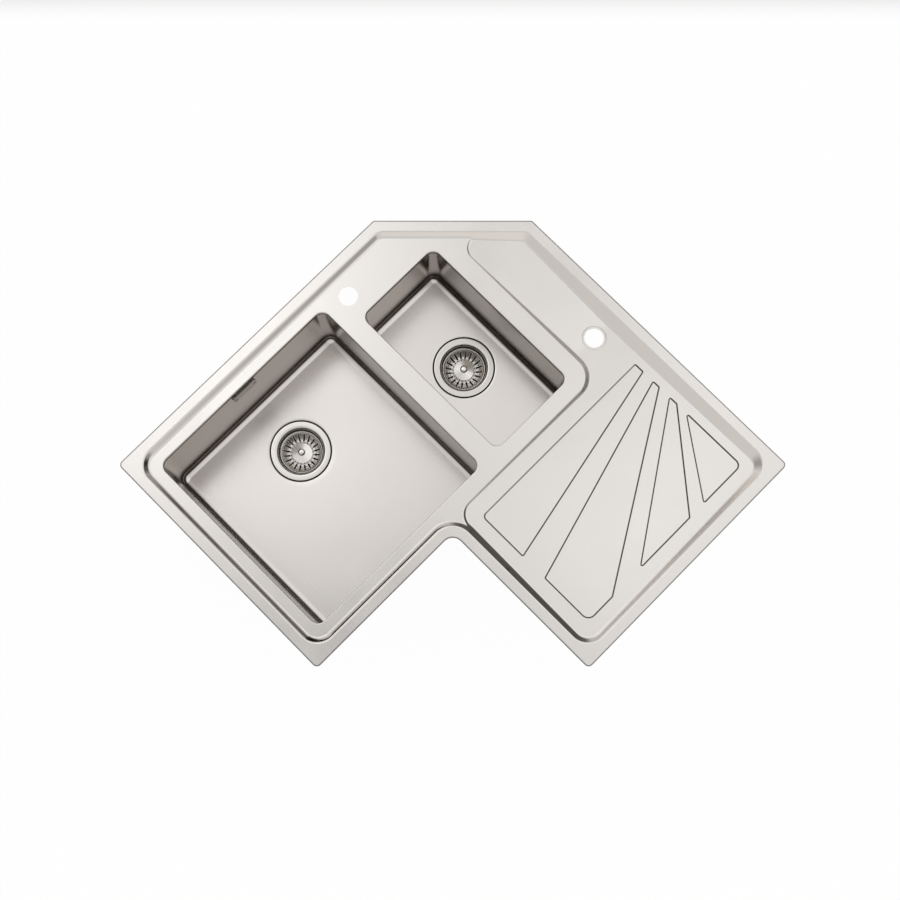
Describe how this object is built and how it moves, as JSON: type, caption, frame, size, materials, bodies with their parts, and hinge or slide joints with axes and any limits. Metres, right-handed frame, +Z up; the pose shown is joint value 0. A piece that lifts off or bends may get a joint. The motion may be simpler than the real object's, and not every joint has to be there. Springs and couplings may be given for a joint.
{
  "type": "corner kitchen sink",
  "caption": "Corner inset kitchen sink in pressed stainless steel: L-shaped deck, square main bowl, small bowl, ribbed draining board, basket wastes, overflow and fastening clips.",
  "frame": {"origin": "centre of the sink's 830 mm square, on the worktop's surface under the rim", "axes": "+X along the back wall from the cut corner to the draining board, +Y to the back wall, +Z up"},
  "size_m": [0.83, 0.83, 0.2901],
  "materials": {
    "deck": "satin stainless steel, rolled grain",
    "main_bowl": "satin stainless steel, drawn bowl",
    "half_bowl": "satin stainless steel, drawn bowl",
    "waste_cup": "polished stainless steel",
    "basket": "polished stainless steel",
    "plug_stem": "polished",
    "rubber": "black rubber",
    "pad": "grey sound-deadening rubber",
    "foam": "closed-cell foam",
    "waste_plastic": "moulded polypropylene",
    "cover": "polished stainless steel",
    "screw_steel": "bright steel",
    "bracket_steel": "stainless steel strip",
    "arm_plastic": "glass-filled nylon"
  },
  "bodies": {
    "sink": {"deck": "deck", "main_bowl": "main_bowl", "half_bowl": "half_bowl", "rim_gasket": "foam", "main_bowl_pads": "pad", "half_bowl_pads": "pad", "clip_brackets": "bracket_steel", "main_waste_cup": "waste_cup", "main_flange_seal": "rubber", "main_body_seal": "rubber", "main_waste_body": "waste_plastic", "main_waste_bolt": "screw_steel", "half_waste_cup": "waste_cup", "half_flange_seal": "rubber", "half_body_seal": "rubber", "half_waste_body": "waste_plastic", "half_waste_bolt": "screw_steel", "overflow_cover": "cover", "overflow_screws": "screw_steel", "overflow_seal": "rubber", "overflow_body": "waste_plastic", "overflow_pipe": "waste_plastic", "overflow_nuts": "waste_plastic"},
    "main_basket_body": {"main_basket": "basket"},
    "main_plug": {"main_plug_stem": "plug_stem", "main_plug_seal": "rubber"},
    "half_basket_body": {"half_basket": "basket"},
    "half_plug": {"half_plug_stem": "plug_stem", "half_plug_seal": "rubber"},
    "clip_1": {"clip_screw_1": "screw_steel"},
    "clip_1_arm": {"clip_arm_1": "arm_plastic"},
    "clip_2": {"clip_screw_2": "screw_steel"},
    "clip_2_arm": {"clip_arm_2": "arm_plastic"},
    "clip_3": {"clip_screw_3": "screw_steel"},
    "clip_3_arm": {"clip_arm_3": "arm_plastic"},
    "clip_4": {"clip_screw_4": "screw_steel"},
    "clip_4_arm": {"clip_arm_4": "arm_plastic"},
    "clip_5": {"clip_screw_5": "screw_steel"},
    "clip_5_arm": {"clip_arm_5": "arm_plastic"},
    "clip_6": {"clip_screw_6": "screw_steel"},
    "clip_6_arm": {"clip_arm_6": "arm_plastic"},
    "clip_7": {"clip_screw_7": "screw_steel"},
    "clip_7_arm": {"clip_arm_7": "arm_plastic"},
    "clip_8": {"clip_screw_8": "screw_steel"},
    "clip_8_arm": {"clip_arm_8": "arm_plastic"}
  },
  "joints": [
    {"name": "main_basket_lift", "type": "slide", "parent": "sink", "child": "main_basket_body", "axis": [0, 0, 1], "range_m": [0, 0.25]},
    {"name": "main_plug_lift", "type": "slide", "parent": "main_basket_body", "child": "main_plug", "axis": [0, 0, 1], "range_m": [0, 0.008]},
    {"name": "half_basket_lift", "type": "slide", "parent": "sink", "child": "half_basket_body", "axis": [0, 0, 1], "range_m": [0, 0.225]},
    {"name": "half_plug_lift", "type": "slide", "parent": "half_basket_body", "child": "half_plug", "axis": [0, 0, 1], "range_m": [0, 0.008]},
    {"name": "clip_1_swing", "type": "hinge", "parent": "sink", "child": "clip_1", "pos_m": [-0.381, 0.15, -0.06], "axis": [0, 0, 1], "range_deg": [0, 90]},
    {"name": "clip_1_draw", "type": "slide", "parent": "clip_1", "child": "clip_1_arm", "axis": [0, 0, 1], "range_m": [0, 0.034]},
    {"name": "clip_2_swing", "type": "hinge", "parent": "sink", "child": "clip_2", "pos_m": [-0.381, -0.3, -0.06], "axis": [0, 0, -1], "range_deg": [0, 90]},
    {"name": "clip_2_draw", "type": "slide", "parent": "clip_2", "child": "clip_2_arm", "axis": [0, 0, 1], "range_m": [0, 0.034]},
    {"name": "clip_3_swing", "type": "hinge", "parent": "sink", "child": "clip_3", "pos_m": [-0.165, -0.381, -0.06], "axis": [0, 0, -1], "range_deg": [0, 90]},
    {"name": "clip_3_draw", "type": "slide", "parent": "clip_3", "child": "clip_3_arm", "axis": [0, 0, 1], "range_m": [0, 0.034]},
    {"name": "clip_4_swing", "type": "hinge", "parent": "sink", "child": "clip_4", "pos_m": [0.051, -0.3, -0.06], "axis": [0, 0, -1], "range_deg": [0, 90]},
    {"name": "clip_4_draw", "type": "slide", "parent": "clip_4", "child": "clip_4_arm", "axis": [0, 0, 1], "range_m": [0, 0.034]},
    {"name": "clip_5_swing", "type": "hinge", "parent": "sink", "child": "clip_5", "pos_m": [0.25015, -0.041, -0.06], "axis": [0, 0, -1], "range_deg": [0, 90]},
    {"name": "clip_5_draw", "type": "slide", "parent": "clip_5", "child": "clip_5_arm", "axis": [0, 0, 1], "range_m": [0, 0.034]},
    {"name": "clip_6_swing", "type": "hinge", "parent": "sink", "child": "clip_6", "pos_m": [0.371, 0.18, -0.06], "axis": [0, 0, -1], "range_deg": [0, 90]},
    {"name": "clip_6_draw", "type": "slide", "parent": "clip_6", "child": "clip_6_arm", "axis": [0, 0, 1], "range_m": [0, 0.034]},
    {"name": "clip_7_swing", "type": "hinge", "parent": "sink", "child": "clip_7", "pos_m": [0.28, 0.371, -0.06], "axis": [0, 0, -1], "range_deg": [0, 90]},
    {"name": "clip_7_draw", "type": "slide", "parent": "clip_7", "child": "clip_7_arm", "axis": [0, 0, 1], "range_m": [0, 0.034]},
    {"name": "clip_8_swing", "type": "hinge", "parent": "sink", "child": "clip_8", "pos_m": [-0.06, 0.371, -0.06], "axis": [0, 0, -1], "range_deg": [0, 90]},
    {"name": "clip_8_draw", "type": "slide", "parent": "clip_8", "child": "clip_8_arm", "axis": [0, 0, 1], "range_m": [0, 0.034]}
  ]
}
